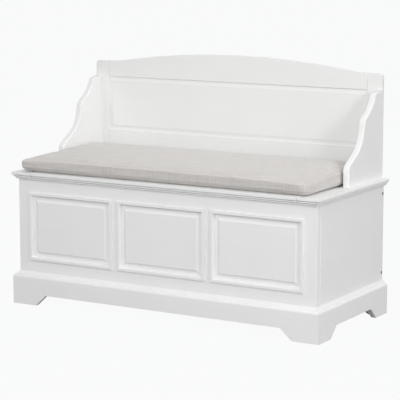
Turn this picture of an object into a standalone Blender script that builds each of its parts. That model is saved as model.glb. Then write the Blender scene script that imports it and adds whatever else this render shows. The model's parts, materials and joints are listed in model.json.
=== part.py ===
# White painted storage bench: a moulded box on bracket feet, a hinged lid that carries a seat cushion,
# scrolled side wings and a panelled back under an arched rail.
# Metres, +Z up. The front faces -Y and the origin is on the floor under the middle of the bench.

import math

import bmesh
import bpy
from mathutils import Vector

# Clearances
joint_gap = 0.0003
lid_seam = 0.0014
pin_clearance = 0.00015
same_point = 0.000001
cut_past = 0.010

# Box
box_width = 1.040
box_depth = 0.4515
box_top = 0.3957
front_thickness = 0.022
side_thickness = 0.018
back_thickness = 0.015
bottom_thickness = 0.012
bottom_rise = 0.036
cleat_size = 0.018
board_ease = 0.0010
corner_groove = 0.0025

# Raised front panels and the mouldings around them, set in from the edges of the front board
front_stile_width = 0.0405
front_top_margin = 0.0407
front_bottom_margin = 0.0366
mullion_width = 0.019
moulding_lip = 0.008
moulding_leg = 0.0043
moulding_rise = 0.0052
moulding_round = 0.0012
moulding_toe = 0.0012
moulding_depth = 0.0052
panel_rim = 0.009
panel_cove = 0.017
panel_field_depth = 0.0010

# Raised panels rise to their field in a cove that steepens inwards
cove_power = 2.6
cove_steps = 6

# Base boards and bracket feet
base_overhang = 0.0165
base_face_top = 0.0859
base_round = 0.0075
base_step = 0.0020
base_bevel_height = 0.0085
base_top_flat = 0.0008
foot_width_front = 0.086
foot_width_side = 0.079
foot_slant = 0.038
foot_cut_height = 0.0346
box_above_cut = 0.0054
foot_block_size = 0.048
foot_block_cut = 0.022

# Seat top: two fixed ends, a fixed rear rail and the lid between them
seat_thickness = 0.0210
seat_overhang = 0.0165
seat_lip_height = 0.0085
seat_bead_reach = 0.0122
seat_bead_height = 0.0050
seat_foot_reach = 0.0070
seat_quirk_height = 0.0014
seat_quirk_depth = 0.0036
seat_quirk_slope = 0.0002
seat_edge_round = 0.0014
seat_end_width = 0.058
lid_proud = 0.0020

# Backrest
back_frame_thickness = 0.015
back_frame_setback = 0.005
back_frame_inset = 0.0035
back_frame_ease = 0.0016
back_height = 0.3184
stile_width = 0.0488
stile_corner = 0.010
arch_rise = 0.035
arch_shoulder = 0.064
top_rail_height = 0.0506
lower_rail_height = 0.0930
lower_rail_edge_share = 0.3
back_panel_cove = 0.014
back_panel_sink = 0.0020
back_panel_set_in = 0.0042
back_panel_tongue = 0.005
back_panel_groove = 0.008

# Side wings
wing_thickness = 0.020
wing_depth = 0.2213
wing_height = 0.2695
wing_ease = 0.0040

# Cushion
cushion_side_gap = 0.006
cushion_front_inset = 0.005
cushion_seam_height = 0.0420
cushion_crown = 0.0240
cushion_crown_reach = 0.041
cushion_corner = 0.022
cushion_draw_in = 0.005
cushion_front_spread = 0.010
cushion_spread_reach = 0.050
cushion_wing_clearance = 0.010
cushion_bulge = 0.003
cushion_lift = 0.0010
cushion_lift_reach = 0.010

# Hinges
lid_open_angle = 75
hinge_setback = 0.0475
hinge_end_distance = 0.182
hinge_length = 0.076
hinge_leaf_width = 0.025
hinge_leaf_thickness = 0.0016
hinge_barrel_radius = 0.003
hinge_pin_radius = 0.0015
hinge_knuckle_share = 0.25
barrel_clearance = 0.0004

# Lid stays: an upper arm on the lid and a lower arm on the back board, level with the hinge line
stay_offset = 0.0165
stay_lid_pivot_forward = 0.197
stay_lid_pivot_drop = 0.015
stay_back_pivot_behind = 0.015
stay_back_pivot_drop = 0.110
stay_arm_width = 0.016
stay_arm_thickness = 0.002
stay_layer_gap = 0.0004
stay_pin_radius = 0.0025
stay_head_radius = 0.0045
stay_head_thickness = 0.0012
stay_plate_thickness = 0.002
stay_plate_width = 0.024
stay_plate_length = 0.052

# Bolts that hold the side panels to the back board
bolt_from_bottom = 0.086
bolt_from_top = 0.0257
bolt_head_radius = 0.0048
bolt_head_length = 0.003
bolt_head_sink = 0.0015
bolt_recess_clearance = 0.0007
bolt_shank_radius = 0.0026
bolt_reach = 0.030

# Places worked out from the sizes above
box_half = box_width / 2
box_front = (seat_overhang - box_depth) / 2
box_back = box_front + box_depth
box_bottom = foot_cut_height + box_above_cut
base_top = base_face_top + base_round + base_step + base_bevel_height
bottom_low = box_bottom + bottom_rise
panel_width = (box_width - 2 * front_stile_width - 2 * mullion_width) / 3
panel_low = base_top + front_bottom_margin
panel_high = box_top - front_top_margin
side_front = box_front + front_thickness + joint_gap
inner_half = box_half - side_thickness
back_inner = box_back - back_thickness
seat_bottom = box_top + joint_gap
seat_top = seat_bottom + seat_thickness
lid_top = seat_top + lid_proud
lid_half = box_half - seat_end_width
seat_end_inner = lid_half + lid_seam
back_frame_back = box_back - back_frame_setback
back_frame_front = back_frame_back - back_frame_thickness
back_frame_half = box_half - back_frame_inset
rail_half = back_frame_half - stile_width
stile_top = seat_top + back_height
top_rail_bottom = stile_top - top_rail_height
lower_rail_top = seat_top + lower_rail_height
cushion_half = back_frame_half - wing_thickness - cushion_side_gap
hinge_y = back_frame_front - hinge_setback
hinge_gap = hinge_barrel_radius + barrel_clearance
hinge_axis = Vector((0, hinge_y, seat_top))
stay_lid_pivot = Vector((0, hinge_y - stay_lid_pivot_forward, seat_bottom - stay_lid_pivot_drop))
stay_back_pivot = Vector((0, hinge_y + stay_back_pivot_behind, seat_top - stay_back_pivot_drop))
stay_elbow = stay_lid_pivot + stay_back_pivot - hinge_axis
stay_plane = lid_half - stay_offset

round_sides = 20

# Colour, roughness and metallic value of each finish
finishes = {
    "white paint": ((0.86, 0.86, 0.85), 0.38, 0.0),
    "bare board": ((0.72, 0.66, 0.56), 0.70, 0.0),
    "linen": ((0.60, 0.58, 0.55), 0.92, 0.0),
    "steel": ((0.55, 0.55, 0.56), 0.35, 1.0),
    "bronze": ((0.36, 0.26, 0.17), 0.42, 1.0),
}


# Helpers that make meshes in world coordinates

def skin(rings, closed=False):
    bm = bmesh.new()
    rows = [[bm.verts.new(point) for point in ring] for ring in rings]
    count = len(rows[0])
    pairs = list(zip(rows, rows[1:]))
    if closed:
        pairs.append((rows[-1], rows[0]))
    else:
        bm.faces.new(rows[0])
        bm.faces.new(rows[-1])
    for low, high in pairs:
        for i in range(count):
            j = (i + 1) % count
            bm.faces.new((low[i], low[j], high[j], high[i]))
    bmesh.ops.remove_doubles(bm, verts=bm.verts, dist=same_point)
    bmesh.ops.recalc_face_normals(bm, faces=bm.faces)
    return bm


def block(x, y, z, ease=0.0):
    bm = skin([[(x[0], y[0], h), (x[1], y[0], h), (x[1], y[1], h), (x[0], y[1], h)] for h in z])
    if ease:
        bmesh.ops.bevel(bm, geom=bm.edges[:], offset=ease, segments=1, affect="EDGES", profile=0.5)
    return bm


def placed(outline, axis, at):
    if axis == "x":
        return [(at, a, b) for a, b in outline]
    if axis == "y":
        return [(a, at, b) for a, b in outline]
    return [(a, b, at) for a, b in outline]


def prism(outline, axis, low, high):
    return skin([placed(outline, axis, low), placed(outline, axis, high)])


def inset(outline, amounts):
    # Moves each edge of a counter-clockwise outline inwards by its own amount
    moved = []
    for i, here in enumerate(outline):
        before = Vector(here) - Vector(outline[i - 1])
        after = Vector(outline[(i + 1) % len(outline)]) - Vector(here)
        first = Vector((-before.y, before.x)).normalized()
        second = Vector((-after.y, after.x)).normalized()
        a, b = amounts[i - 1], amounts[i]
        cross = first.x * second.y - first.y * second.x
        if abs(cross) < 0.02:
            shift = (first + second).normalized() * (a + b) / 2
        else:
            shift = Vector(((a * second.y - b * first.y) / cross, (b * first.x - a * second.x) / cross))
        moved.append((here[0] + shift.x, here[1] + shift.y))
    return moved


def eased_prism(outline, shares, axis, low, high, ease, steps):
    # A prism with rounded rims; shares says how much of the ease each edge of the outline takes
    rings = []
    for end, inward in ((low, 1), (high, -1)):
        turn = range(steps + 1) if inward > 0 else range(steps, -1, -1)
        for k in turn:
            angle = math.pi / 2 * k / steps
            amounts = [share * ease * (1 - math.sin(angle)) for share in shares]
            at = end + inward * ease * (1 - math.cos(angle))
            rings.append(placed(inset(outline, amounts), axis, at))
    return skin(rings)


def turned(profile, centre, sides=round_sides):
    # Profile of (x, radius) pairs about a line along X through the centre
    rings = []
    for x, radius in profile:
        ring = []
        for i in range(sides):
            angle = 2 * math.pi * i / sides
            ring.append((x, centre.y + radius * math.cos(angle), centre.z + radius * math.sin(angle)))
        rings.append(ring)
    return skin(rings)


def arc(centre, radius, start, end, steps):
    turns = [math.radians(start + (end - start) * i / steps) for i in range(steps + 1)]
    return [(centre[0] + radius * math.cos(t), centre[1] + radius * math.sin(t)) for t in turns]


def combined(first, second, operation):
    objects = []
    for bm in (first, second):
        mesh = bpy.data.meshes.new("working shape")
        bm.to_mesh(mesh)
        bm.free()
        shape = bpy.data.objects.new("working shape", mesh)
        bpy.context.scene.collection.objects.link(shape)
        objects.append(shape)
    modifier = objects[0].modifiers.new("Boolean", "BOOLEAN")
    modifier.operation = operation
    modifier.solver = "EXACT"
    modifier.object = objects[1]
    bpy.context.view_layer.update()
    graph = bpy.context.evaluated_depsgraph_get()
    result = bmesh.new()
    result.from_mesh(objects[0].evaluated_get(graph).data)
    for shape in objects:
        mesh = shape.data
        bpy.data.objects.remove(shape)
        bpy.data.meshes.remove(mesh)
    return result


def cut(bm, *cutters):
    for cutter in cutters:
        bm = combined(bm, cutter, "DIFFERENCE")
    return bm


def joined(bm, *others):
    for other in others:
        bm = combined(bm, other, "UNION")
    return bm


def material_for(name, finish):
    colour, roughness, metallic = finishes[finish]
    material = bpy.data.materials.new(name)
    material.use_nodes = True
    shader = material.node_tree.nodes["Principled BSDF"]
    shader.inputs["Base Color"].default_value = (*colour, 1.0)
    shader.inputs["Roughness"].default_value = roughness
    shader.inputs["Metallic"].default_value = metallic
    return material


def pivot_empty(name, place, parent=None):
    empty = bpy.data.objects.new(name, None)
    empty.empty_display_size = 0.03
    bpy.context.scene.collection.objects.link(empty)
    empty.location = place
    if parent:
        empty.parent = parent
        empty.location = place - parent.location
    return empty


def add(name, bm, finish, pivot=None):
    # A piece that moves is a child of the empty on its joint's axis
    mesh = bpy.data.meshes.new(name)
    if pivot:
        bpy.context.view_layer.update()
        bmesh.ops.translate(bm, verts=bm.verts, vec=-pivot.matrix_world.translation)
    bm.to_mesh(mesh)
    bm.free()
    mesh.shade_smooth()
    mesh.set_sharp_from_angle(angle=math.radians(30))
    mesh.materials.append(material_for(name, finish))
    piece = bpy.data.objects.new(name, mesh)
    piece.parent = pivot
    bpy.context.scene.collection.objects.link(piece)
    return piece


# Raised panels, as (way in, depth) pairs from the rim to the field

def cove(edge_in, width, rim_depth, field_depth):
    shares = [k / cove_steps for k in range(cove_steps + 1)]
    return [(edge_in + width * u, rim_depth - (rim_depth - field_depth) * u ** cove_power) for u in shares]


# Moulded edges, as (reach beyond the box, height)

def seat_edge(thickness):
    # A foot bead and a larger bead under a lip, with a narrow quirk above each bead
    lip = seat_thickness - seat_lip_height
    bead_high = lip - seat_quirk_height
    bead_low = bead_high - seat_bead_height
    foot_high = bead_low - seat_quirk_height
    bands = (
        (seat_foot_reach, 0.0, foot_high),
        (seat_bead_reach, bead_low, bead_high),
        (seat_overhang, lip, thickness),
    )
    points = []
    for reach, low, high in bands:
        if points:
            root = points[-1][0] + seat_edge_round - seat_quirk_depth
            points += [(root, points[-1][1] + seat_quirk_slope), (root, low - seat_quirk_slope)]
        soft = seat_edge_round * (1 - math.sqrt(0.5))
        points += [
            (reach - seat_edge_round, low),
            (reach - soft, low + soft),
            (reach, low + seat_edge_round),
            (reach, high - seat_edge_round),
            (reach - soft, high - soft),
            (reach - seat_edge_round, high),
        ]
    return points


def base_edge():
    # Plain face, a quarter round, a small step and a bevel up to the box
    points = [(joint_gap, 0.0), (base_overhang, 0.0), (base_overhang, base_face_top)]
    inner = base_overhang - base_round
    for k in range(1, 5):
        angle = math.pi / 8 * k
        points.append((inner + base_round * math.cos(angle), base_face_top + base_round * math.sin(angle)))
    step_top = base_face_top + base_round + base_step
    points += [
        (inner - base_step, base_face_top + base_round),
        (inner - base_step, step_top),
        (joint_gap + base_top_flat, base_top),
        (joint_gap, base_top),
    ]
    return points


# Base: three moulded boards with bracket feet, and a glue block behind each foot

def foot_gap(low, high):
    # Outline of the cut between two feet, carried below the floor
    top = (low + foot_slant, high - foot_slant)
    return [
        (low, -cut_past),
        (high, -cut_past),
        (high, 0.0),
        (top[1], foot_cut_height),
        (top[0], foot_cut_height),
        (low, 0.0),
    ]


def make_base():
    edge = base_edge()
    mitre = joint_gap / 2
    rings = [[(s * (box_half + u - mitre), box_front - u, h) for u, h in edge] for s in (-1, 1)]
    reach = box_half + base_overhang - foot_width_front
    gap = foot_gap(-reach, reach)
    cutter = prism(gap, "y", box_front - base_overhang - cut_past, box_front + cut_past)
    add("base_front_board", cut(skin(rings), cutter), "white paint")
    for s, side in ((-1, "left"), (1, "right")):
        ends = [
            [(s * (box_half + u), box_front - u + mitre, h) for u, h in edge],
            [(s * (box_half + u), box_back, h) for u, h in edge],
        ]
        gap = foot_gap(box_front - base_overhang + foot_width_side, box_back - foot_width_side)
        across = sorted((s * (box_half - cut_past), s * (box_half + base_overhang + cut_past)))
        add(f"base_{side}_board", cut(skin(ends), prism(gap, "x", *across)), "white paint")
        for end, y, inward in (("front", box_front, 1), ("rear", box_back, -1)):
            size, low = foot_block_size, foot_block_cut
            corner = [(0, 0), (size, 0), (size, low), (low, size), (0, size)]
            outline = [(s * (box_half - a), y + inward * b) for a, b in corner]
            solid = prism(outline, "z", 0.0, box_bottom - joint_gap)
            add(f"foot_block_{end}_{side}", solid, "bare board")


# Box: front board with three windows, sides, back, bottom and the cleats under it

def panel_middles():
    pitch = panel_width + mullion_width
    return (("left", -pitch), ("middle", 0.0), ("right", pitch))


def window_ring(middle, edge_in, depth):
    # Rectangle a given way in from a moulding's outer edge, at a depth behind the front face
    half = panel_width / 2 - edge_in
    low, high = panel_low + edge_in, panel_high - edge_in
    y, left, right = box_front + depth, middle - half, middle + half
    return [(left, y, low), (right, y, low), (right, y, high), (left, y, high)]


def make_front():
    rim = board_ease
    solid = block((-box_half, box_half), (box_front, box_front + front_thickness), (box_bottom, box_top), rim)
    for _, middle in panel_middles():
        depths = (-cut_past, front_thickness + cut_past)
        solid = cut(solid, skin([window_ring(middle, moulding_lip, d) for d in depths]))
    add("front_board", solid, "white paint")

    # A moulding has a square outer edge, a flat crest and a steep fall to the panel
    inner = moulding_lip + moulding_leg
    rim_front = moulding_depth + joint_gap
    soft = moulding_round * (1 - math.sqrt(0.5))
    for name, middle in panel_middles():
        section = [
            (0.0, -joint_gap),
            (0.0, moulding_round - moulding_rise),
            (soft, soft - moulding_rise),
            (moulding_round, -moulding_rise),
            (moulding_lip, -moulding_rise),
            (moulding_lip + moulding_round - soft, soft - moulding_rise),
            (moulding_lip + moulding_round, moulding_round - moulding_rise),
            (inner, moulding_depth - moulding_toe),
            (inner, moulding_depth),
            (moulding_lip + joint_gap, moulding_depth),
            (moulding_lip + joint_gap, -joint_gap),
        ]
        rings = [window_ring(middle, a, d) for a, d in section]
        add(f"panel_moulding_{name}", skin(rings, closed=True), "white paint")

        raised = [
            (moulding_lip + joint_gap, rim_front + panel_rim),
            (moulding_lip + joint_gap, rim_front),
            *cove(inner, panel_cove, rim_front, panel_field_depth),
        ]
        add(f"raised_panel_{name}", skin([window_ring(middle, a, d) for a, d in raised]), "white paint")


def bolt_profile(s, grow):
    # From the sunk head at the side panel's face to the tip inside the back board
    head = box_half + cut_past if grow else box_half - bolt_head_sink
    head_radius = bolt_head_radius + bolt_recess_clearance if grow else bolt_head_radius
    under = box_half - bolt_head_sink - bolt_head_length - grow
    tip = inner_half - bolt_reach - grow
    return [
        (s * head, head_radius),
        (s * under, head_radius),
        (s * under, bolt_shank_radius + grow),
        (s * tip, bolt_shank_radius + grow),
    ]


def bolt_axes():
    heights = (box_bottom + bolt_from_bottom, box_top - bolt_from_top)
    return [Vector((0, box_back - back_thickness / 2, h)) for h in heights]


def make_carcass():
    back_half = inner_half - joint_gap
    back = block((-back_half, back_half), (back_inner, box_back), (box_bottom, box_top), board_ease)
    for s, side in ((-1, "left"), (1, "right")):
        across = sorted((s * inner_half, s * box_half))
        panel = block(across, (side_front, box_back), (box_bottom, box_top), corner_groove)
        for height, axis in zip(("lower", "upper"), bolt_axes()):
            panel = cut(panel, turned(bolt_profile(s, joint_gap), axis))
            back = cut(back, turned(bolt_profile(s, joint_gap), axis))
            add(f"side_bolt_{side}_{height}", turned(bolt_profile(s, 0), axis), "bronze")
        add(f"side_panel_{side}", panel, "white paint")
    add("back_board", back, "white paint")

    floor_half = inner_half - joint_gap
    floor_y = (side_front, back_inner - joint_gap)
    floor_z = (bottom_low, bottom_low + bottom_thickness)
    add("bottom_board", block((-floor_half, floor_half), floor_y, floor_z, board_ease), "white paint")
    cleat_top = floor_z[0] - joint_gap
    for name, y in (("front", floor_y[0]), ("rear", floor_y[1] - cleat_size)):
        solid = block((-floor_half, floor_half), (y, y + cleat_size), (cleat_top - cleat_size, cleat_top))
        add(f"bottom_cleat_{name}", solid, "bare board")


# Seat top

def hinge_middles():
    middle = lid_half - hinge_end_distance
    return (("left", -middle), ("right", middle))


def leaf_pocket(middle, s, top):
    # Space for a hinge leaf, open upwards and towards the hinge line
    half = hinge_length / 2 + joint_gap
    y = sorted((hinge_y, hinge_y + s * (hinge_leaf_width + joint_gap)))
    return block((middle - half, middle + half), y, (leaf_height()[0] - joint_gap, top + cut_past))


def leaf_height():
    high = seat_top - joint_gap
    return high - hinge_leaf_thickness, high


def make_seat_top():
    for s, side in ((-1, "left"), (1, "right")):
        rings = []
        for u, h in seat_edge(seat_thickness):
            x = (s * seat_end_inner, s * (box_half + u))
            y = (box_front - u, box_back)
            z = seat_bottom + h
            rings.append([(x[0], y[0], z), (x[1], y[0], z), (x[1], y[1], z), (x[0], y[1], z)])
        add(f"seat_end_{side}", skin(rings), "white paint")

    rail = seat_end_inner - joint_gap
    solid = block((-rail, rail), (hinge_y + hinge_gap, box_back), (seat_bottom, seat_top), board_ease)
    for _, middle in hinge_middles():
        solid = cut(solid, leaf_pocket(middle, 1, seat_top))
    add("seat_rear_rail", solid, "white paint")


def make_lid(pivot):
    rings = []
    back = hinge_y - hinge_gap
    for u, h in seat_edge(seat_thickness + lid_proud):
        y, z = box_front - u, seat_bottom + h
        rings.append([(-lid_half, y, z), (lid_half, y, z), (lid_half, back, z), (-lid_half, back, z)])
    solid = skin(rings)
    for _, middle in hinge_middles():
        solid = cut(solid, leaf_pocket(middle, -1, lid_top))
    add("lid", solid, "white paint", pivot)


# Cushion: boxed, crowned, with rounded corners and sides drawn in between them

def cushion_grid(count):
    # Even steps with finer ones near both edges
    steps = [i / count * 2 - 1 for i in range(count + 1)]
    return [math.sin(t * math.pi / 2) * 0.55 + t * 0.45 for t in steps]


def spread_start():
    # In front of this the ends swing clear over the wings and may stand out past them
    ways = [Vector((hinge_y - y, z - seat_top)) for y, z in scroll_outline()]
    met = [w.length for w in ways if math.degrees(math.atan2(w.y, w.x)) <= lid_open_angle]
    return hinge_y - max(met) - cushion_wing_clearance


def cushion_point(s, t, half, middle, spread_from):
    x, y = s * half[0], t * half[1]
    straight = (half[0] - cushion_corner, half[1] - cushion_corner)
    over = (abs(x) - straight[0], abs(y) - straight[1])
    if over[0] > 0 and over[1] > 0:
        scale = max(over) / math.hypot(*over)
        x = math.copysign(straight[0] + over[0] * scale, x)
        y = math.copysign(straight[1] + over[1] * scale, y)
    share = min(1, max(0, (spread_from - y - middle) / cushion_spread_reach))
    spread = cushion_front_spread * share * share * (3 - 2 * share)
    x += math.copysign(1, s) * abs(s) ** 6 * (spread - cushion_draw_in * (1 - t * t))
    y -= math.copysign(cushion_draw_in * abs(t) ** 6 * (1 - s * s), t)
    return x, y + middle


def make_cushion(pivot):
    front = box_front - seat_overhang + cushion_front_inset
    back = hinge_y - hinge_gap - cushion_bulge
    half = (cushion_half, (back - front) / 2)
    middle = (back + front) / 2
    low = lid_top + joint_gap
    seams = (low + cushion_lift, low + cushion_seam_height)
    columns, rows = cushion_grid(28), cushion_grid(14)
    spread_from = spread_start()
    bm = bmesh.new()
    layers = []
    for top in (False, True):
        layer = []
        for t in rows:
            line = []
            for s in columns:
                x, y = cushion_point(s, t, half, middle, spread_from)
                edge = min((1 - abs(s)) * half[0], (1 - abs(t)) * half[1])
                z = seams[1] + cushion_crown * (1 - math.exp(-edge / cushion_crown_reach))
                if not top:
                    z = seams[0] - cushion_lift * min(1, edge / cushion_lift_reach)
                line.append(bm.verts.new((x, y, z)))
            layer.append(line)
        layers.append(layer)
        for j in range(len(rows) - 1):
            for i in range(len(columns) - 1):
                bm.faces.new((layer[j][i], layer[j][i + 1], layer[j + 1][i + 1], layer[j + 1][i]))

    def border(layer):
        return (layer[0] + [line[-1] for line in layer[1:]] + layer[-1][-2::-1]
                + [line[0] for line in layer[-2:0:-1]])

    lower, upper = (border(layer) for layer in layers)
    previous = lower
    for share in (1 / 3, 2 / 3, 1):
        current = upper
        if share < 1:
            current = []
            for a, b in zip(lower, upper):
                away = Vector((a.co.x / half[0], (a.co.y - middle) / half[1], 0))
                flat = Vector([w if abs(w) > 0.9 else 0 for w in away])
                swell = (flat if flat.length else away).normalized() * cushion_bulge * math.sin(math.pi * share)
                current.append(bm.verts.new(a.co.lerp(b.co, share) + swell))
        for i in range(len(current)):
            j = (i + 1) % len(current)
            bm.faces.new((previous[i], previous[j], current[j], current[i]))
        previous = current
    bmesh.ops.recalc_face_normals(bm, faces=bm.faces)
    add("seat_cushion", bm, "linen", pivot)


# Backrest: stiles, arched top rail, lower rail and a raised panel held in their grooves

def arch_height(x):
    # A long convex arc that runs into short concave shoulders
    slope = 2 * arch_rise / rail_half
    turn = rail_half - arch_shoulder
    if abs(x) <= turn:
        return arch_rise - x * x * slope / (2 * turn)
    return (rail_half - abs(x)) ** 2 * slope / (2 * arch_shoulder)


def panel_rectangle(half, low, high, y):
    return [(-half, y, low), (half, y, low), (half, y, high), (-half, y, high)]


def make_backrest():
    half_gap = joint_gap / 2
    tongue_front = back_frame_front + back_panel_set_in
    tongue_back = tongue_front + back_panel_tongue
    grow = back_panel_groove

    def groove():
        reach = grow + joint_gap
        rings = [
            panel_rectangle(rail_half + reach, lower_rail_top - reach, top_rail_bottom + reach, y)
            for y in (tongue_front - joint_gap, tongue_back + joint_gap)
        ]
        return skin(rings)

    foot = seat_top + joint_gap
    for s, side in ((-1, "left"), (1, "right")):
        inner, outer = rail_half + half_gap, back_frame_half
        corner = arc((outer - stile_corner, stile_top - stile_corner), stile_corner, 0, 90, 5)
        outline = [(inner, foot), (outer, foot), *corner, (inner, stile_top)]
        if s < 0:
            outline = [(-x, z) for x, z in reversed(outline)]
        solid = eased_prism(
            outline, [1] * len(outline), "y", back_frame_front, back_frame_back, back_frame_ease, 2
        )
        add(f"back_stile_{side}", cut(solid, groove()), "white paint")

    end = rail_half - half_gap
    steps = 72
    top = []
    for i in range(steps + 1):
        x = end - 2 * end * i / steps
        top.append((x, stile_top + arch_height(x)))
    outline = [(-end, top_rail_bottom), (end, top_rail_bottom), *top]
    ease = back_frame_ease
    solid = eased_prism(outline, [1] * len(outline), "y", back_frame_front, back_frame_back, ease, 2)
    add("back_top_rail", cut(solid, groove()), "white paint")

    # The lower rail's top edge is only lightly eased
    outline = [(-end, foot), (end, foot), (end, lower_rail_top), (-end, lower_rail_top)]
    shares = [1, 1, lower_rail_edge_share, 1]
    solid = eased_prism(outline, shares, "y", back_frame_front, back_frame_back, ease, 2)
    add("back_lower_rail", cut(solid, groove()), "white paint")

    field = back_frame_front + back_panel_sink
    section = [(-grow, tongue_back), (-grow, tongue_front), *cove(0, back_panel_cove, tongue_front, field)]
    rings = [panel_rectangle(rail_half - a, lower_rail_top + a, top_rail_bottom - a, d) for a, d in section]
    add("back_panel", skin(rings), "white paint")


# Wings: a foot, then two knees joined by hollow sweeps up to the stile

def scroll_outline():
    # Each step is a straight run, or an arc given by its radius and how far it turns
    steps = (
        (0.0495, None),
        (0.022, -60),
        (0.0473, None),
        (0.098, 52),
        (0.0118, None),
        (0.028, -50),
        (0.0103, None),
        (0.150, 30),
        (0.003, None),
        (0.009, -54),
        (0.0370, None),
    )
    place, heading = Vector((0.0, 0.0)), 90.0
    path = [place]
    for size, turn in steps:
        parts = 1 if turn is None else 7
        for _ in range(parts):
            swing = 0.0 if turn is None else turn / parts
            run = size if turn is None else 2 * size * math.sin(math.radians(abs(swing)) / 2)
            heading += swing / 2
            way = Vector((math.cos(math.radians(heading)), math.sin(math.radians(heading))))
            heading += swing / 2
            place = place + way * run
            path.append(place)
    wide, tall = wing_depth / path[-1].x, wing_height / path[-1].y
    front = back_frame_front - joint_gap - wing_depth
    foot = seat_top + joint_gap
    outline = [(front + p.x * wide, foot + p.y * tall) for p in path]
    outline.append((back_frame_front - joint_gap, foot))
    return outline[::-1]


def make_wings():
    # The rear edge and the foot stay square where they meet the stile and the seat
    outline = scroll_outline()
    shares = [1] * len(outline)
    shares[0] = 0
    shares[-1] = 0
    ease = min(wing_ease, wing_thickness / 2.5)
    for s, side in ((-1, "left"), (1, "right")):
        across = sorted((s * (back_frame_half - wing_thickness), s * back_frame_half))
        add(f"side_wing_{side}", eased_prism(outline, shares, "x", *across, ease, 3), "white paint")


# Hinges: a leaf in the rear rail, a leaf in the lid and a pin

def knuckle_spans(s):
    end = hinge_length * hinge_knuckle_share
    middle = hinge_length / 2 - end
    if s > 0:
        return ((-hinge_length / 2, -middle - joint_gap / 2), (middle + joint_gap / 2, hinge_length / 2))
    return ((-middle + joint_gap / 2, middle - joint_gap / 2),)


def hinge_leaf(middle, s):
    low, high = leaf_height()
    half = hinge_length / 2
    y = sorted((hinge_y + s * hinge_gap, hinge_y + s * hinge_leaf_width))
    solid = block((middle - half, middle + half), y, (low, high))
    bore = hinge_pin_radius + pin_clearance
    trim = hinge_leaf_thickness / 10
    for start, end in knuckle_spans(s):
        x = (middle + start, middle + end)
        barrel = turned([(x[0], hinge_barrel_radius), (x[1], hinge_barrel_radius)], hinge_axis)
        reach = sorted((hinge_y + s * (bore + 0.0003), hinge_y + s * (hinge_gap + 0.002)))
        tab = block((x[0] + trim, x[1] - trim), reach, (low + trim, high - trim))
        solid = joined(solid, tab, barrel)
    past = half + cut_past
    return cut(solid, turned([(middle - past, bore), (middle + past, bore)], hinge_axis))


def make_hinges(pivot):
    for side, middle in hinge_middles():
        add(f"hinge_rail_leaf_{side}", hinge_leaf(middle, 1), "steel")
        add(f"hinge_lid_leaf_{side}", hinge_leaf(middle, -1), "steel", pivot)
        half = hinge_length / 2 + 0.0005
        pin = turned([(middle - half, hinge_pin_radius), (middle + half, hinge_pin_radius)], hinge_axis)
        add(f"hinge_pin_{side}", pin, "steel")


# Lid stays. The arms keep level with the line from the lid pivot to the hinge and with the line from
# the hinge to the back pivot, so the elbow closes at every angle of the lid.

def stay_layer(index, s):
    # Layers of sheet side by side: lid ear, upper arm, lower arm, back ear
    pitch = stay_arm_thickness + stay_layer_gap
    middle = stay_plane + (index - 1.5) * pitch
    return s * (middle - stay_arm_thickness / 2), s * (middle + stay_arm_thickness / 2)


def stay_arm(first, second, layer, s):
    way = second - first
    tilt = math.degrees(math.atan2(way.z, way.y))
    radius = stay_arm_width / 2
    ends = arc((second.y, second.z), radius, tilt - 90, tilt + 90, 8)
    ends += arc((first.y, first.z), radius, tilt + 90, tilt + 270, 8)
    x = sorted(stay_layer(layer, s))
    solid = prism(ends, "x", *x)
    hole = stay_pin_radius + pin_clearance
    for place in (first, second):
        solid = cut(solid, turned([(x[0] - cut_past, hole), (x[1] + cut_past, hole)], place))
    return solid


def stay_stud(root_x, far_x, way, place):
    # A stud that ends in a head on the far side of the arm
    head = far_x + way * (stay_layer_gap / 2)
    profile = [
        (root_x, stay_pin_radius),
        (head, stay_pin_radius),
        (head, stay_head_radius),
        (head + way * stay_head_thickness, stay_head_radius),
    ]
    return turned(profile, place)


def ear_outline(pivot, side_way, root):
    # A tongue of sheet with a round end at the pivot, rooted on a flat plate
    radius = stay_arm_width / 2
    if side_way == "up":
        round_end = arc((pivot.y, pivot.z), radius, 180, 360, 8)
        return [(pivot.y + radius, root), (pivot.y - radius, root), *round_end]
    round_end = arc((pivot.y, pivot.z), radius, 90, 270, 8)
    return [(root, pivot.z - radius), (root, pivot.z + radius), *round_end]


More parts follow.
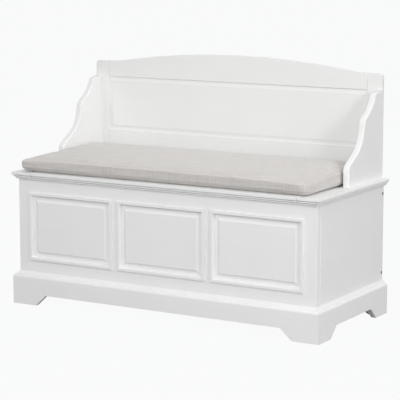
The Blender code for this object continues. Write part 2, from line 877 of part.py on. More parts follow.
def make_stays(lid_pivot):
    thick, wide, long = stay_plate_thickness, stay_plate_width, stay_plate_length
    for s, side in ((-1, "left"), (1, "right")):
        top = seat_bottom - joint_gap
        ear = stay_layer(0, s)
        inside = stay_layer(1, s)
        plate_y = (stay_lid_pivot.y - long / 2, stay_lid_pivot.y + long / 2)
        plate = block(sorted((ear[1], ear[1] - s * wide)), plate_y, (top - thick, top))
        outline = ear_outline(stay_lid_pivot, "up", top - thick / 2)
        stud = stay_stud((ear[0] + ear[1]) / 2, inside[1], s, stay_lid_pivot)
        bracket = joined(plate, prism(outline, "x", *sorted(ear)), stud)
        add(f"stay_lid_bracket_{side}", bracket, "steel", lid_pivot)

        upper = pivot_empty(f"stay_upper_pivot_{side}", stay_lid_pivot, lid_pivot)
        add(f"stay_upper_arm_{side}", stay_arm(stay_lid_pivot, stay_elbow, 1, s), "steel", upper)

        lower = pivot_empty(f"stay_lower_pivot_{side}", stay_back_pivot)
        add(f"stay_lower_arm_{side}", stay_arm(stay_back_pivot, stay_elbow, 2, s), "steel", lower)

        near, far = stay_layer(1, s)[0], stay_layer(2, s)[1]
        gap = s * stay_layer_gap / 2
        head = s * stay_head_thickness
        rivet = [
            (near - gap - head, stay_head_radius),
            (near - gap, stay_head_radius),
            (near - gap, stay_pin_radius),
            (far + gap, stay_pin_radius),
            (far + gap, stay_head_radius),
            (far + gap + head, stay_head_radius),
        ]
        add(f"stay_elbow_rivet_{side}", turned(rivet, stay_elbow), "steel", lower)

        ear = stay_layer(3, s)
        wall = back_inner - joint_gap
        plate_z = (stay_back_pivot.z - long / 2, stay_back_pivot.z + long / 2)
        plate = block(sorted((ear[0], ear[0] + s * wide)), (wall - thick, wall), plate_z)
        outline = ear_outline(stay_back_pivot, "back", wall - thick / 2)
        stud = stay_stud((ear[0] + ear[1]) / 2, stay_layer(2, s)[0], -s, stay_back_pivot)
        bracket = joined(plate, prism(outline, "x", *sorted(ear)), stud)
        add(f"stay_back_bracket_{side}", bracket, "steel")


def main():
    for old in list(bpy.data.objects):
        bpy.data.objects.remove(old)
    lid_pivot = pivot_empty("lid_pivot", hinge_axis)
    make_base()
    make_front()
    make_carcass()
    make_seat_top()
    make_lid(lid_pivot)
    make_cushion(lid_pivot)
    make_backrest()
    make_wings()
    make_hinges(lid_pivot)
    make_stays(lid_pivot)


main()
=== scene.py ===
import bpy, bmesh, json, math
from mathutils import Euler, Matrix, Vector
from mathutils.bvhtree import BVHTree
from mathutils.kdtree import KDTree


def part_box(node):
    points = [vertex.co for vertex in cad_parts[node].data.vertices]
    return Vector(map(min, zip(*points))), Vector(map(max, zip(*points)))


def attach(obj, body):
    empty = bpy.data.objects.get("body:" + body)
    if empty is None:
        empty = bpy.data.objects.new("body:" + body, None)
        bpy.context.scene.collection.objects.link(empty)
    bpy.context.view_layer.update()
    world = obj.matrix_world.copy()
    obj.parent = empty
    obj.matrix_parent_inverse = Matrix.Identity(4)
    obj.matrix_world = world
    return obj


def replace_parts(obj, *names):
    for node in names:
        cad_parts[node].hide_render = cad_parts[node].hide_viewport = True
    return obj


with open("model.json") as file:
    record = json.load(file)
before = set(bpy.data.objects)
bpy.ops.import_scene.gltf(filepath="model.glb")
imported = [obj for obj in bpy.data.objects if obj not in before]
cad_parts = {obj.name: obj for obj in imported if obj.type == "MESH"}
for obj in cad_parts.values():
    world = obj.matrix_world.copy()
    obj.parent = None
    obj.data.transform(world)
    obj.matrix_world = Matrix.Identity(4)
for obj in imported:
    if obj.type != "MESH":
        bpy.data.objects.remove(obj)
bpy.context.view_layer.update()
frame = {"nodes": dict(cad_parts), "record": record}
nodes = frame["nodes"]
scene = bpy.context.scene
scene.view_settings.view_transform = "Standard"

# camera at the photograph's angle
cameraSet = {
    "eye": (2.5793, -4.3456, 1.1647), "target": (0.0187, -0.0175, 0.3434),
    "lens": 149.56, "sensor": 36, "clip": 200,
}


def aimed(eye, target):
    return (Vector(target) - Vector(eye)).to_track_quat("-Z", "Y").to_euler()


camera = bpy.data.objects.new("camera", bpy.data.cameras.new("camera"))
camera.data.lens = cameraSet["lens"]
camera.data.sensor_width = cameraSet["sensor"]
camera.data.clip_end = cameraSet["clip"]
camera.location = cameraSet["eye"]
camera.rotation_euler = aimed(cameraSet["eye"], cameraSet["target"])
scene.collection.objects.link(camera)
scene.camera = camera
print("camera set")

# soft studio light, each lamp by degrees round from the front, degrees up and metres away
lampSet = {
    "key": {"round": 25, "up": 15, "far": 5.0, "size": 1.6, "power": 51},
    "high": {"round": 25, "up": 45, "far": 5.0, "size": 1.6, "power": 45},
    "right": {"round": 60, "up": 17, "far": 5.0, "size": 0.8, "power": 46},
    "fill": {"round": -25, "up": 15, "far": 5.0, "size": 2.0, "power": 41},
    "side": {"round": 88, "up": 25, "far": 5.0, "size": 1.6, "power": 51},
    "back": {"round": 180, "up": 65, "far": 4.2, "size": 2.0, "power": 20},
}
lampAim = Vector((0, 0, 0.4))
for name, lamp in lampSet.items():
    data = bpy.data.lights.new(name, "AREA")
    data.shape = "SQUARE"
    data.size = lamp["size"]
    data.energy = lamp["power"]
    obj = bpy.data.objects.new(name, data)
    turn = Euler((-math.radians(lamp["up"]), 0, math.radians(lamp["round"])))
    obj.location = lampAim + turn.to_matrix() @ Vector((0, -lamp["far"], 0))
    obj.rotation_euler = aimed(obj.location, lampAim)
    scene.collection.objects.link(obj)


# small helpers for node trees
def addNode(tree, kind, **values):
    made = tree.nodes.new("ShaderNode" + kind)
    for key, value in values.items():
        if key in made.inputs:
            made.inputs[key].default_value = value
        else:
            setattr(made, key, value)
    return made


def seenDirectly(tree):
    # 1 for camera, glossy and transmission rays
    path = addNode(tree, "LightPath")
    first = addNode(tree, "Math", operation="MAXIMUM")
    second = addNode(tree, "Math", operation="MAXIMUM")
    tree.links.new(path.outputs["Is Camera Ray"], first.inputs[0])
    tree.links.new(path.outputs["Is Glossy Ray"], first.inputs[1])
    tree.links.new(first.outputs[0], second.inputs[0])
    tree.links.new(path.outputs["Is Transmission Ray"], second.inputs[1])
    return second.outputs[0]


def splitSurface(tree, share, lighting, seen, output):
    # one shader for the light it gives, the other for what is seen
    mixed = addNode(tree, "MixShader")
    tree.links.new(share, mixed.inputs["Fac"])
    tree.links.new(lighting.outputs[0], mixed.inputs[1])
    tree.links.new(seen.outputs[0], mixed.inputs[2])
    tree.links.new(mixed.outputs[0], addNode(tree, output).inputs["Surface"])


worldSet = {"colour": (0.965, 0.984, 0.975, 1), "ambient": 0.352}
world = bpy.data.worlds.new("studio")
scene.world = world
world.use_nodes = True
tree = world.node_tree
tree.nodes.clear()
ambient = addNode(tree, "Background", Color=(1, 1, 1, 1), Strength=worldSet["ambient"])
backdrop = addNode(tree, "Background", Color=worldSet["colour"], Strength=1.0)
splitSurface(tree, seenDirectly(tree), ambient, backdrop, "OutputWorld")

# floor: grey for the bounce and the shadow, lifted nearly to white where it is seen
floorSet = {"size": 60.0, "colour": (0.25, 0.25, 0.25, 1), "white": (0.99, 1.0, 0.995, 1), "lift": 0.95}
bm = bmesh.new()
bmesh.ops.create_grid(bm, x_segments=1, y_segments=1, size=floorSet["size"])
floorMesh = bpy.data.meshes.new("floor")
bm.to_mesh(floorMesh)
bm.free()
floor = bpy.data.objects.new("floor", floorMesh)
scene.collection.objects.link(floor)
floorMat = bpy.data.materials.new("floor")
floorMat.use_nodes = True
tree = floorMat.node_tree
tree.nodes.clear()
lit = addNode(tree, "BsdfDiffuse", Color=floorSet["colour"])
glow = addNode(tree, "Emission", Color=floorSet["white"])
share = addNode(tree, "Math", operation="MULTIPLY")
share.inputs[1].default_value = floorSet["lift"]
tree.links.new(seenDirectly(tree), share.inputs[0])
splitSurface(tree, share.outputs[0], lit, glow, "OutputMaterial")
floorMesh.materials.append(floorMat)
print("light and floor set")


# helpers for the finishes
def newFinish(name, **values):
    mat = bpy.data.materials.new(name)
    mat.use_nodes = True
    tree = mat.node_tree
    shader = tree.nodes["Principled BSDF"]
    for key, value in values.items():
        shader.inputs[key.replace("_", " ")].default_value = value
    return mat, tree, shader


def objectCoords(tree):
    return addNode(tree, "TexCoord").outputs["Object"]


def noiseAt(tree, coords, stretch, scale, detail=2.0, roughness=0.5):
    # noise on stretched coordinates
    place = addNode(tree, "Mapping")
    place.inputs["Scale"].default_value = stretch
    tree.links.new(coords, place.inputs["Vector"])
    made = addNode(tree, "TexNoise", Scale=scale, Detail=detail, Roughness=roughness)
    tree.links.new(place.outputs[0], made.inputs["Vector"])
    return made.outputs["Fac"]


def ranged(tree, value, low, high, start=0.3, end=0.7):
    made = addNode(tree, "MapRange")
    for socket, number in zip(("From Min", "From Max", "To Min", "To Max"), (start, end, low, high)):
        made.inputs[socket].default_value = number
    tree.links.new(value, made.inputs["Value"])
    return made.outputs["Result"]


def summed(tree, first, second, secondShare=0.5):
    total = addNode(tree, "Math", operation="ADD")
    for i, (value, number) in enumerate(((first, 1 - secondShare), (second, secondShare))):
        made = addNode(tree, "Math", operation="MULTIPLY")
        made.inputs[1].default_value = number
        tree.links.new(value, made.inputs[0])
        tree.links.new(made.outputs[0], total.inputs[i])
    return total.outputs[0]


def coloured(tree, shader, share, look):
    # from the deep colour to the pale one, which are sockets 6 and 7
    made = addNode(tree, "Mix", data_type="RGBA")
    made.inputs[6].default_value = (*look["deep"], 1)
    made.inputs[7].default_value = (*look["pale"], 1)
    tree.links.new(share, made.inputs[0])
    tree.links.new(made.outputs[2], shader.inputs["Base Color"])


def roughened(tree, shader, share, look):
    tree.links.new(ranged(tree, share, *look["rough"]), shader.inputs["Roughness"])


def bumped(tree, shader, height, look):
    made = addNode(tree, "Bump", Strength=look["bump"], Distance=look["bumpDepth"])
    tree.links.new(height, made.inputs["Height"])
    tree.links.new(made.outputs["Normal"], shader.inputs["Normal"])


# sprayed satin paint: faint mottling, a trace of grain along the board and orange peel
# a noise is given as stretch, scale, detail and roughness, the grain's stretch by the piece
paintSet = {
    "pale": (0.874, 0.875, 0.871), "deep": (0.843, 0.845, 0.841), "rough": (0.48, 0.58), "specular": 0.32,
    "mottle": ((1, 1, 1), 7.0, 4.0, 0.55), "grain": (90.0, 3.0, 0.6), "peel": ((1, 1, 1), 620.0, 1.0),
    "grainShare": 0.3, "bump": 0.10, "bumpDepth": 0.0004,
}


def whitePaint(name, stretch):
    mat, tree, shader = newFinish(name, Specular_IOR_Level=paintSet["specular"])
    coords = objectCoords(tree)
    mottle = noiseAt(tree, coords, *paintSet["mottle"])
    grain = noiseAt(tree, coords, stretch, *paintSet["grain"])
    peel = noiseAt(tree, coords, *paintSet["peel"])
    tone = summed(tree, mottle, grain, paintSet["grainShare"])
    coloured(tree, shader, ranged(tree, tone, 0, 1), paintSet)
    roughened(tree, shader, mottle, paintSet)
    bumped(tree, shader, summed(tree, grain, peel), paintSet)
    return mat


# unpainted softwood under the box
boardSet = {
    "pale": (0.74, 0.66, 0.53), "deep": (0.60, 0.49, 0.36), "rough": 0.72,
    "rings": ((0.06, 1, 1), 60.0, 5.0, 0.6), "pores": ((0.1, 1, 1), 700.0, 2.0),
    "bump": 0.25, "bumpDepth": 0.0005,
}


def bareBoard(name):
    mat, tree, shader = newFinish(name, Roughness=boardSet["rough"])
    coords = objectCoords(tree)
    rings = noiseAt(tree, coords, *boardSet["rings"])
    pores = noiseAt(tree, coords, *boardSet["pores"])
    coloured(tree, shader, ranged(tree, rings, 0, 1), boardSet)
    bumped(tree, shader, summed(tree, rings, pores), boardSet)
    return mat


# bright zinc on the hinges and stays, rubbed along its length
steelSet = {
    "pale": (0.66, 0.66, 0.67), "deep": (0.50, 0.50, 0.52), "rough": (0.24, 0.42),
    "rubbed": ((0.15, 1, 1), 900.0, 3.0, 0.6), "cloudy": ((1, 1, 1), 120.0, 3.0), "cloudShare": 0.6,
    "bump": 0.08, "bumpDepth": 0.0002,
}


def zincSteel(name):
    mat, tree, shader = newFinish(name, Metallic=1.0)
    coords = objectCoords(tree)
    rubbed = noiseAt(tree, coords, *steelSet["rubbed"])
    cloudy = noiseAt(tree, coords, *steelSet["cloudy"])
    tone = summed(tree, rubbed, cloudy, steelSet["cloudShare"])
    coloured(tree, shader, ranged(tree, tone, 0, 1), steelSet)
    roughened(tree, shader, cloudy, steelSet)
    bumped(tree, shader, rubbed, steelSet)
    return mat


# bronzed bolt heads, darker where the plating is thin
bronzeSet = {
    "pale": (0.24, 0.165, 0.09), "deep": (0.07, 0.047, 0.026), "rough": (0.34, 0.55),
    "cloudy": ((1, 1, 1), 520.0, 4.0, 0.6), "bump": 0.1, "bumpDepth": 0.0002,
}


def bronzeHead(name):
    mat, tree, shader = newFinish(name, Metallic=1.0)
    cloudy = noiseAt(tree, objectCoords(tree), *bronzeSet["cloudy"])
    coloured(tree, shader, ranged(tree, cloudy, 0, 1), bronzeSet)
    roughened(tree, shader, cloudy, bronzeSet)
    bumped(tree, shader, cloudy, bronzeSet)
    return mat


# slubby plain-weave linen on the cushion's own UV map, which is in metres
linenSet = {
    "pale": (0.735, 0.708, 0.688), "deep": (0.540, 0.514, 0.494), "toneRange": (0.36, 0.64),
    "rough": 0.9, "specular": 0.2, "sheen": 0.34, "sheenRough": 0.5,
    "slub": {"stretch": (26.0, 700.0), "detail": 3.0, "roughness": 0.6, "warpShare": 0.5},
    "streak": {"stretch": (13.0, 190.0), "detail": 2.0, "roughness": 0.5, "warpShare": 0.4},
    "thread": 0.0012, "waver": 1.1, "waverScale": 0.6, "threadShare": 0.3, "streakShare": 0.55,
    "slubBump": 0.3, "bump": 0.55, "bumpDepth": 0.0005,
}


def weaveThreads(tree, coords, way):
    # the texture's bands repeat every 2 pi / 20 at a scale of 1
    made = addNode(tree, "TexWave", wave_type="BANDS", bands_direction=way, Detail=1.0)
    made.inputs["Scale"].default_value = 2 * math.pi / 20 / linenSet["thread"]
    made.inputs["Distortion"].default_value = linenSet["waver"]
    made.inputs["Detail Scale"].default_value = linenSet["waverScale"]
    tree.links.new(coords, made.inputs["Vector"])
    return made.outputs["Fac"]


def crossedNoise(tree, coords, stretch, detail, roughness, warpShare):
    along, across = stretch
    weft = noiseAt(tree, coords, (along, across, 1), 1.0, detail, roughness)
    warp = noiseAt(tree, coords, (across, along, 1), 1.0, detail, roughness)
    return summed(tree, weft, warp, warpShare)


def slubbyLinen(name):
    mat, tree, shader = newFinish(
        name, Roughness=linenSet["rough"], Specular_IOR_Level=linenSet["specular"],
        Sheen_Weight=linenSet["sheen"], Sheen_Roughness=linenSet["sheenRough"])
    coords = addNode(tree, "UVMap", uv_map="weave").outputs["UV"]
    slubs = crossedNoise(tree, coords, **linenSet["slub"])
    streaks = crossedNoise(tree, coords, **linenSet["streak"])
    threads = summed(tree, weaveThreads(tree, coords, "X"), weaveThreads(tree, coords, "Y"))
    yarn = summed(tree, slubs, threads, linenSet["threadShare"])
    tone = summed(tree, yarn, streaks, linenSet["streakShare"])
    coloured(tree, shader, ranged(tree, tone, 0, 1, *linenSet["toneRange"]), linenSet)
    bumped(tree, shader, summed(tree, threads, slubs, linenSet["slubBump"]), linenSet)
    return mat


# the paint's grain runs along each board
finishMats = {
    "across": whitePaint("whitePaintAcross", (0.05, 1, 1)),
    "upright": whitePaint("whitePaintUpright", (1, 1, 0.05)),
    "deep": whitePaint("whitePaintDeep", (1, 0.05, 1)),
    "bare_board": bareBoard("bareBoard"),
    "linen": slubbyLinen("slubbyLinen"),
    "steel": zincSteel("zincSteel"),
    "bronze": bronzeHead("bronzeHead"),
}
uprightPieces = ("back_stile", "side_wing")
deepPieces = ("side_panel", "seat_end", "base_left", "base_right")
slotOf = {part["node"]: part["material_slot"] for part in frame["record"]["subparts"]}


def paintFor(name):
    if name.startswith(uprightPieces):
        return "upright"
    return "deep" if name.startswith(deepPieces) else "across"


for name, obj in nodes.items():
    finish = paintFor(name) if slotOf[name] == "white_paint" else slotOf[name]
    obj.data.materials.clear()
    obj.data.materials.append(finishMats[finish])
print("finishes on", len(nodes), "frame pieces")

# helpers for the modelled pieces
sharpAngle = math.radians(35)
tiny = 1e-5


def addPiece(name, bm, body, slot):
    mesh = bpy.data.meshes.new(name)
    bm.to_mesh(mesh)
    bm.free()
    mesh.shade_smooth()
    mesh.set_sharp_from_angle(angle=sharpAngle)
    mesh.materials.append(finishMats[slot])
    obj = bpy.data.objects.new(name, mesh)
    scene.collection.objects.link(obj)
    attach(obj, body)
    return obj


def rounded(bm, edges, offset, steps):
    bmesh.ops.bevel(bm, geom=edges, offset=offset, segments=steps, affect="EDGES", profile=0.5, material=-1)


def vertsOf(geom):
    return [v for v in geom if isinstance(v, bmesh.types.BMVert)]


def openEdges(bm):
    return [e for e in bm.edges if e.is_boundary]


def drawnOut(bm, edges):
    return vertsOf(bmesh.ops.extrude_edge_only(bm, edges=edges)["geom"])


def baked(obj, kind, **values):
    # gives the object the mesh that one modifier makes of it
    modifier = obj.modifiers.new(kind.title(), kind)
    for key, value in values.items():
        setattr(modifier, key, value)
    made = bpy.data.meshes.new_from_object(obj.evaluated_get(bpy.context.evaluated_depsgraph_get()))
    obj.modifiers.remove(modifier)
    obj.data = made


def smoothStep(value):
    value = max(0.0, min(1.0, value))
    return value * value * (3 - 2 * value)


# seat cushion: a boxed foam pad, plumped by a short cloth run, with a seam sewn round its top and foot
cushionSet = {
    "low": (-0.4945, -0.2320, 0.4196), "high": (0.4940, 0.1600, 0.4635), "voxel": 0.0061,
    "corners": {(-1, -1): 0.013, (1, -1): 0.026, (-1, 1): 0.024, (1, 1): 0.024}, "cornerSteps": 6,
    "topEdge": 0.007, "footEdge": 0.007, "edgeSteps": 4,
    "lift": 0.008, "crown": 0.0055, "crownReach": 0.030, "footFlat": 0.002,
    "cornerDrop": 0.008, "dropReach": 0.25, "dropPower": 4,
    "drawIn": 0.003, "frontLean": 0.006, "endLean": 0.004, "sidePower": 6,
    "spread": 0.0130, "spreadFrom": -0.066, "spreadReach": 0.040, "spreadSlack": 1.2,
    "cloth": {
        "quality": 5, "tension_stiffness": 18, "compression_stiffness": 18, "bending_stiffness": 0.4,
        "use_pressure": True, "uniform_pressure_force": 3.0,
    },
    "pinned": 0.0015, "frames": 20, "cap": 0.004, "capInward": 0.0015,
    "sideLimit": 0.4955, "backLimit": 0.1612, "frontLimit": -0.2340,
    "tuck": 0.018, "tuckHigh": 0.0130, "tuckDeep": 0.045, "tuckPower": 1.15,
    "openAngle": 75, "backGap": 0.0012, "backSoft": 0.005,
    "seams": {"top": {"inside": 0.010, "rise": 0.30}, "foot": {"inside": 0.016, "rise": -0.22}},
    "seamInset": 0.035, "arcSteps": 12, "runSteps": 40, "creaseSteps": 8,
    "seamDepth": 0.0014, "seamWidth": 0.0024, "panelFacing": 0.62,
}


def edgesWhere(bm, test):
    return [e for e in bm.edges if test(e.verts[0].co, e.verts[1].co)]


def cushionBlock():
    low, high = Vector(cushionSet["low"]), Vector(cushionSet["high"])
    middle, tall = (low + high) / 2, (high.z - low.z) / 2
    bm = bmesh.new()
    bmesh.ops.create_cube(bm, size=1.0)
    bmesh.ops.scale(bm, vec=high - low, verts=bm.verts)
    bmesh.ops.translate(bm, vec=middle, verts=bm.verts)
    for (sx, sy), radius in cushionSet["corners"].items():
        upright = edgesWhere(bm, lambda a, b: abs(a.z - b.z) > tall
                             and min(sx * (a.x - middle.x), sy * (a.y - middle.y)) > 0)
        rounded(bm, upright, radius, cushionSet["cornerSteps"])
    for level, offset in ((high.z, cushionSet["topEdge"]), (low.z, cushionSet["footEdge"])):
        rim = edgesWhere(bm, lambda a, b: max(abs(a.z - level), abs(b.z - level)) < tiny)
        rounded(bm, rim, offset, cushionSet["edgeSteps"])
    return bm


def crownRise(co, s):
    # fuller towards the back, with a low crown inside the edges and the front corners thin
    low, high = cushionSet["low"], cushionSet["high"]
    edge = max(0.0, min(co.y - low[1], high[1] - co.y, co.x - low[0], high[0] - co.x))
    rise = cushionSet["lift"] * smoothStep((co.y - low[1]) / (high[1] - low[1]))
    rise += cushionSet["crown"] * (1 - math.exp(-edge / cushionSet["crownReach"]))
    thin = 1 - smoothStep((co.y - low[1]) / cushionSet["dropReach"])
    return rise - cushionSet["cornerDrop"] * s ** cushionSet["dropPower"] * thin


def pastWing(y):
    # 0 beside the left wing, 1 in front of it
    return smoothStep((cushionSet["spreadFrom"] - y) / cushionSet["spreadReach"])


def plumped(mesh):
    # crown on top, sides drawn in between the corners, the front and the right end over their foot,
    # the front left corner out past the wing
    low, high = Vector(cushionSet["low"]), Vector(cushionSet["high"])
    middle, half = (low + high) / 2, (high - low) / 2
    for v in mesh.vertices:
        co = v.co
        s, t = (co.x - middle.x) / half.x, (co.y - middle.y) / half.y
        down = (high.z - co.z) / (high.z - low.z)
        endShare, faceShare = abs(s) ** cushionSet["sidePower"], abs(t) ** cushionSet["sidePower"]
        if co.z > low.z + cushionSet["footFlat"]:
            co.z += crownRise(co, s) * (1 - down)
        spread = pastWing(co.y) if s < 0 else 0
        co.x -= math.copysign(cushionSet["drawIn"], s) * endShare * max(0, 1 - t * t)
        co.x -= cushionSet["spread"] * spread * endShare
        co.y -= math.copysign(cushionSet["drawIn"], t) * faceShare * max(0, 1 - s * s)
        if s > 0:
            co.x -= cushionSet["endLean"] * down * endShare
        if t < 0:
            co.y += cushionSet["frontLean"] * down * faceShare


def clothRun(obj):
    # puffed from inside with the foot held, each point going no further than its cap
    rest = [v.co.copy() for v in obj.data.vertices]
    held = cushionSet["low"][2] + cushionSet["pinned"]
    pin = obj.vertex_groups.new(name="rests")
    pin.add([i for i, co in enumerate(rest) if co.z < held], 1.0, "REPLACE")
    cloth = obj.modifiers.new("Cloth", "CLOTH")
    for key, value in cushionSet["cloth"].items():
        setattr(cloth.settings, key, value)
    cloth.settings.vertex_group_mass = pin.name
    cloth.settings.effector_weights.gravity = 0
    cloth.point_cache.frame_start = 1
    cloth.point_cache.frame_end = cushionSet["frames"]
    for step in range(1, cushionSet["frames"] + 1):
        scene.frame_set(step)
    settled = obj.evaluated_get(bpy.context.evaluated_depsgraph_get()).data
    moved = [v.co.copy() for v in settled.vertices]
    obj.modifiers.remove(cloth)
    obj.vertex_groups.clear()
    scene.frame_set(1)
    outward = [v.normal.copy() for v in obj.data.vertices]
    for v, start, end, out in zip(obj.data.vertices, rest, moved, outward):
        way = end - start
        most = cushionSet["cap"] if way.dot(out) > 0 else cushionSet["capInward"]
        if way.length > most:
            way *= most / way.length
        v.co = start + way


def keptIn(mesh):
    # stays off the wings, the rear rail and the lid
    limit = cushionSet["sideLimit"]
    for v in mesh.vertices:
        out = cushionSet["spread"] * cushionSet["spreadSlack"] * pastWing(v.co.y)
        v.co.x = max(-limit - out, min(limit, v.co.x))
        v.co.y = max(cushionSet["frontLimit"], min(cushionSet["backLimit"], v.co.y))
        v.co.z = max(cushionSet["low"][2], v.co.z)


def makeCushion():
    bm = cushionBlock()
    mesh = bpy.data.meshes.new("cushion")
    bm.to_mesh(mesh)
    bm.free()
    obj = bpy.data.objects.new("cushion", mesh)
    scene.collection.objects.link(obj)
    baked(obj, "REMESH", mode="VOXEL", voxel_size=cushionSet["voxel"])
    plumped(obj.data)
    clothRun(obj)
    keptIn(obj.data)
    return obj


cushion = makeCushion()
print("cushion plumped,", len(cushion.data.polygons), "faces")


def tucked(mesh):
    # the foot is sewn in under the front, and half as far under the right end
    low, high = cushionSet["low"], cushionSet["high"]
    for v in mesh.vertices:
        drop = max(0, 1 - (v.co.z - low[2]) / cushionSet["tuckHigh"]) ** cushionSet["tuckPower"]
        front = smoothStep(1 - (v.co.y - low[1]) / cushionSet["tuckDeep"])
        end = smoothStep(1 - (high[0] - v.co.x) / cushionSet["tuckDeep"])
        v.co.y += cushionSet["tuck"] * drop * front
        v.co.x -= cushionSet["tuck"] * drop * end / 2


def clearOfBack(mesh):
    # flattened where the open lid brings it to the backrest
    angle, soft = math.radians(cushionSet["openAngle"]), cushionSet["backSoft"]
    low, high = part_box("hinge_pin_left")
    axisY, axisZ = (low[1] + high[1]) / 2, (low[2] + high[2]) / 2
    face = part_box("back_lower_rail")[0][1] - cushionSet["backGap"]
    for v in mesh.vertices:
        over = axisY + (v.co.y - axisY) * math.cos(angle) + (v.co.z - axisZ) * math.sin(angle) - face
        if over > -soft:
            v.co.z -= (over if over > soft else (over + soft) ** 2 / (4 * soft)) / math.sin(angle)


def seamPath(mesh, inside, rise):
    # looks outwards all round the outline for the surface where the panel meets the band
    low, high = Vector(cushionSet["low"]), Vector(cushionSet["high"])
    skin = BVHTree.FromPolygons([v.co for v in mesh.vertices], [p.vertices for p in mesh.polygons])
    centre, inset = (low + high) / 2, cushionSet["seamInset"]
    half = Vector(((high.x - low.x) / 2 - inset, (high.y - low.y) / 2 - inset))
    level = high.z - inside if rise > 0 else low.z + inside
    arcSteps, runSteps = cushionSet["arcSteps"], cushionSet["runSteps"]
    corners = ((1, -1, -90), (1, 1, 0), (-1, 1, 90), (-1, -1, 180))
    looks = []
    for i, (sx, sy, start) in enumerate(corners):
        looks += [(sx, sy, start + 90 * k / arcSteps) for k in range(arcSteps + 1)]
        nextX, nextY, _ = corners[(i + 1) % len(corners)]
        for k in range(1, runSteps):
            share = k / runSteps
            looks.append((sx + (nextX - sx) * share, sy + (nextY - sy) * share, start + 90))
    path = []
    for x, y, turn in looks:
        angle = math.radians(turn)
        place = Vector((centre.x + half.x * x, centre.y + half.y * y, level))
        hit = skin.ray_cast(place, Vector((math.cos(angle), math.sin(angle), rise)).normalized())
        if hit[0]:
            path.append(hit[0])
    return path


def creased(mesh, path):
    # pulls the cloth in along a seam
    steps = cushionSet["creaseSteps"]
    line = KDTree(len(path) * steps)
    for i, here in enumerate(path):
        ahead = path[(i + 1) % len(path)]
        for k in range(steps):
            line.insert(here.lerp(ahead, k / steps), i * steps + k)
    line.balance()
    shifts = []
    for v in mesh.vertices:
        away = line.find(v.co)[2] / cushionSet["seamWidth"]
        shifts.append(v.normal * cushionSet["seamDepth"] * math.exp(-away ** 2))
    for v, shift in zip(mesh.vertices, shifts):
        v.co -= shift


def weaveMap(mesh):
    # lays the weave in metres: flat on the panels, upright on the band
    layer = mesh.uv_layers.new(name="weave")
    for face in mesh.polygons:
        n = face.normal
        for loop in face.loop_indices:
            co = mesh.vertices[mesh.loops[loop].vertex_index].co
            if abs(n.z) > cushionSet["panelFacing"]:
                layer.data[loop].uv = (co.x, co.y)
            elif abs(n.y) > abs(n.x):
                layer.data[loop].uv = (co.x, co.z)
            else:
                layer.data[loop].uv = (co.y, co.z)


baked(cushion, "SUBSURF", levels=1, render_levels=1)
fine = cushion.data
tucked(fine)
clearOfBack(fine)
paths = [seamPath(fine, **seam) for seam in cushionSet["seams"].values()]
for path in paths:
    creased(fine, path)
weaveMap(fine)
fine.shade_smooth()
fine.materials.clear()
fine.materials.append(finishMats["linen"])
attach(cushion, "lid")
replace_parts(cushion, "seat_cushion")
print("seams sewn,", len(fine.polygons), "faces")

# cross-head screws: low heads in the hinge leaves, pan heads on the stay brackets
screwSet = {
    "hinge": {"radius": 0.0033, "height": 0.0007, "dome": 0.0002},
    "stay": {"radius": 0.0036, "height": 0.0018, "dome": 0.0007},
    "arm": 0.0019, "slot": 0.0005, "recess": 0.0006, "taper": 0.0001, "sunk": 0.0004, "turn": 0.5,
    "hingePitch": 0.026, "hingeReach": (0.0135, 0.0175), "leafTop": 0.4167,
    "stayPitch": 0.017, "stayReach": 0.010, "plate": 0.002,
}


def crossHead(bm, head):
    # a grid with its rim on a circle, the cross pressed in and the rim drawn down
    radius, arm, slot = head["radius"], screwSet["arm"], screwSet["slot"]
    marks = (-radius, -arm, -slot, slot, arm, radius)
    cells = len(marks) - 1
    bmesh.ops.create_grid(bm, x_segments=cells, y_segments=cells, size=1)
    for v in bm.verts:
        v.co.x, v.co.y = [marks[round((value + 1) / 2 * cells)] for value in v.co.xy]
        if v.is_boundary:
            v.co = v.co.normalized() * radius
        v.co.z = head["height"] - head["dome"] * (v.co.xy.length / radius) ** 2
    middles = [(f, f.calc_center_median().xy) for f in bm.faces]
    cross = [f for f, at in middles if max(map(abs, at)) < arm and min(map(abs, at)) < tiny]
    bmesh.ops.inset_region(bm, faces=cross, thickness=screwSet["taper"], depth=-screwSet["recess"])
    for v in drawnOut(bm, openEdges(bm)):
        v.co.z = -screwSet["sunk"]
    bmesh.ops.holes_fill(bm, edges=openEdges(bm))
    bmesh.ops.recalc_face_normals(bm, faces=bm.faces)


def addScrews(name, body, head, places):
    bm = bmesh.new()
    crossHead(bm, head)
    first = bm.verts[:] + bm.edges[:] + bm.faces[:]
    for i, (at, out) in enumerate(places):
        made = bmesh.ops.duplicate(bm, geom=first)["geom"]
        turn = Matrix.Rotation(screwSet["turn"] * i, 4, "Z")
        place = Matrix.Translation(at) @ out.to_track_quat("Z", "Y").to_matrix().to_4x4() @ turn
        bmesh.ops.transform(bm, matrix=place, verts=vertsOf(made))
    bmesh.ops.delete(bm, geom=vertsOf(first), context="VERTS")
    addPiece(name, bm, body, "steel")


def leafPlaces(pin, way):
    # three in a row, the middle one nearer the pin
    low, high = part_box(pin)
    middle, axis = (low[0] + high[0]) / 2, (low[1] + high[1]) / 2
    near, far = screwSet["hingeReach"]
    spots = [(middle + k * screwSet["hingePitch"], axis + way * (far if k else near)) for k in (-1, 0, 1)]
    return [(Vector((x, y, screwSet["leafTop"])), Vector((0, 0, 1))) for x, y in spots]


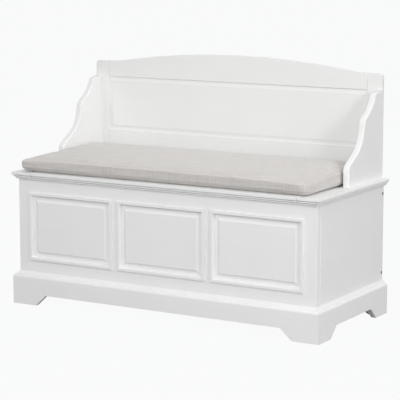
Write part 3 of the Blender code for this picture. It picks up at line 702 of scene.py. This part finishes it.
for side, s in (("left", -1), ("right", 1)):
    for leaf, body, way in (("rail", "bench", 1), ("lid", "lid", -1)):
        places = leafPlaces(f"hinge_pin_{side}", way)
        addScrews(f"hinge_{leaf}_screws_{side}", body, screwSet["hinge"], places)
    low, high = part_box(f"stay_lid_bracket_{side}")
    x = low[0] + screwSet["stayReach"] if s > 0 else high[0] - screwSet["stayReach"]
    y, z = (low[1] + high[1]) / 2, high[2] - screwSet["plate"]
    places = [(Vector((x, y + k * screwSet["stayPitch"], z)), Vector((0, 0, -1))) for k in (-1, 1)]
    addScrews(f"stay_lid_screws_{side}", "lid", screwSet["stay"], places)
    low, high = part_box(f"stay_back_bracket_{side}")
    x = high[0] - screwSet["stayReach"] if s > 0 else low[0] + screwSet["stayReach"]
    y, z = high[1] - screwSet["plate"], (low[2] + high[2]) / 2
    places = [(Vector((x, y, z + k * screwSet["stayPitch"])), Vector((0, -1, 0))) for k in (-1, 1)]
    addScrews(f"stay_back_screws_{side}", "bench", screwSet["stay"], places)
print("screws driven")

# side bolts with a hexagonal socket in the head
boltSet = {
    "socket": 0.0029, "depth": 0.0018, "taper": 0.0001, "head": 0.003, "shank": 0.0026,
    "rim": 0.0006, "rimSteps": 2, "steps": 24,
}


def boltBody(radius, length):
    socket, sector = boltSet["socket"], math.radians(60)
    bm = bmesh.new()
    bmesh.ops.create_circle(bm, cap_ends=True, radius=radius, segments=boltSet["steps"])
    rim = bm.edges[:]
    inner = bm.faces[:]
    bmesh.ops.inset_region(bm, faces=inner, thickness=radius - socket,
                           use_boundary=True, use_even_offset=True)
    # the socket's ring goes onto a hexagon
    for v in inner[0].verts:
        angle = math.atan2(v.co.y, v.co.x) % sector - sector / 2
        v.co.xy = v.co.xy.normalized() * socket * math.cos(sector / 2) / math.cos(angle)
    bmesh.ops.inset_region(bm, faces=inner, thickness=boltSet["taper"], depth=-boltSet["depth"])
    bmesh.ops.translate(bm, vec=(0, 0, -boltSet["head"]), verts=drawnOut(bm, rim))
    share = boltSet["shank"] / radius
    bmesh.ops.scale(bm, vec=(share, share, 1), verts=drawnOut(bm, openEdges(bm)))
    bmesh.ops.translate(bm, vec=(0, 0, boltSet["head"] - length), verts=drawnOut(bm, openEdges(bm)))
    bmesh.ops.holes_fill(bm, edges=openEdges(bm))
    rounded(bm, rim, boltSet["rim"], boltSet["rimSteps"])
    bmesh.ops.recalc_face_normals(bm, faces=bm.faces)
    return bm


for side, s in (("left", -1), ("right", 1)):
    for height in ("lower", "upper"):
        node = f"side_bolt_{side}_{height}"
        low, high = Vector(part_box(node)[0]), Vector(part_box(node)[1])
        bm = boltBody((high.z - low.z) / 2, high.x - low.x)
        at = Vector((high.x if s > 0 else low.x, (low.y + high.y) / 2, (low.z + high.z) / 2))
        turn = Vector((s, 0, 0)).to_track_quat("Z", "Y").to_matrix().to_4x4()
        bmesh.ops.transform(bm, matrix=Matrix.Translation(at) @ turn, verts=bm.verts)
        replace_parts(addPiece(f"socket_bolt_{side}_{height}", bm, "bench", "bronze"), node)
print("bolts in")
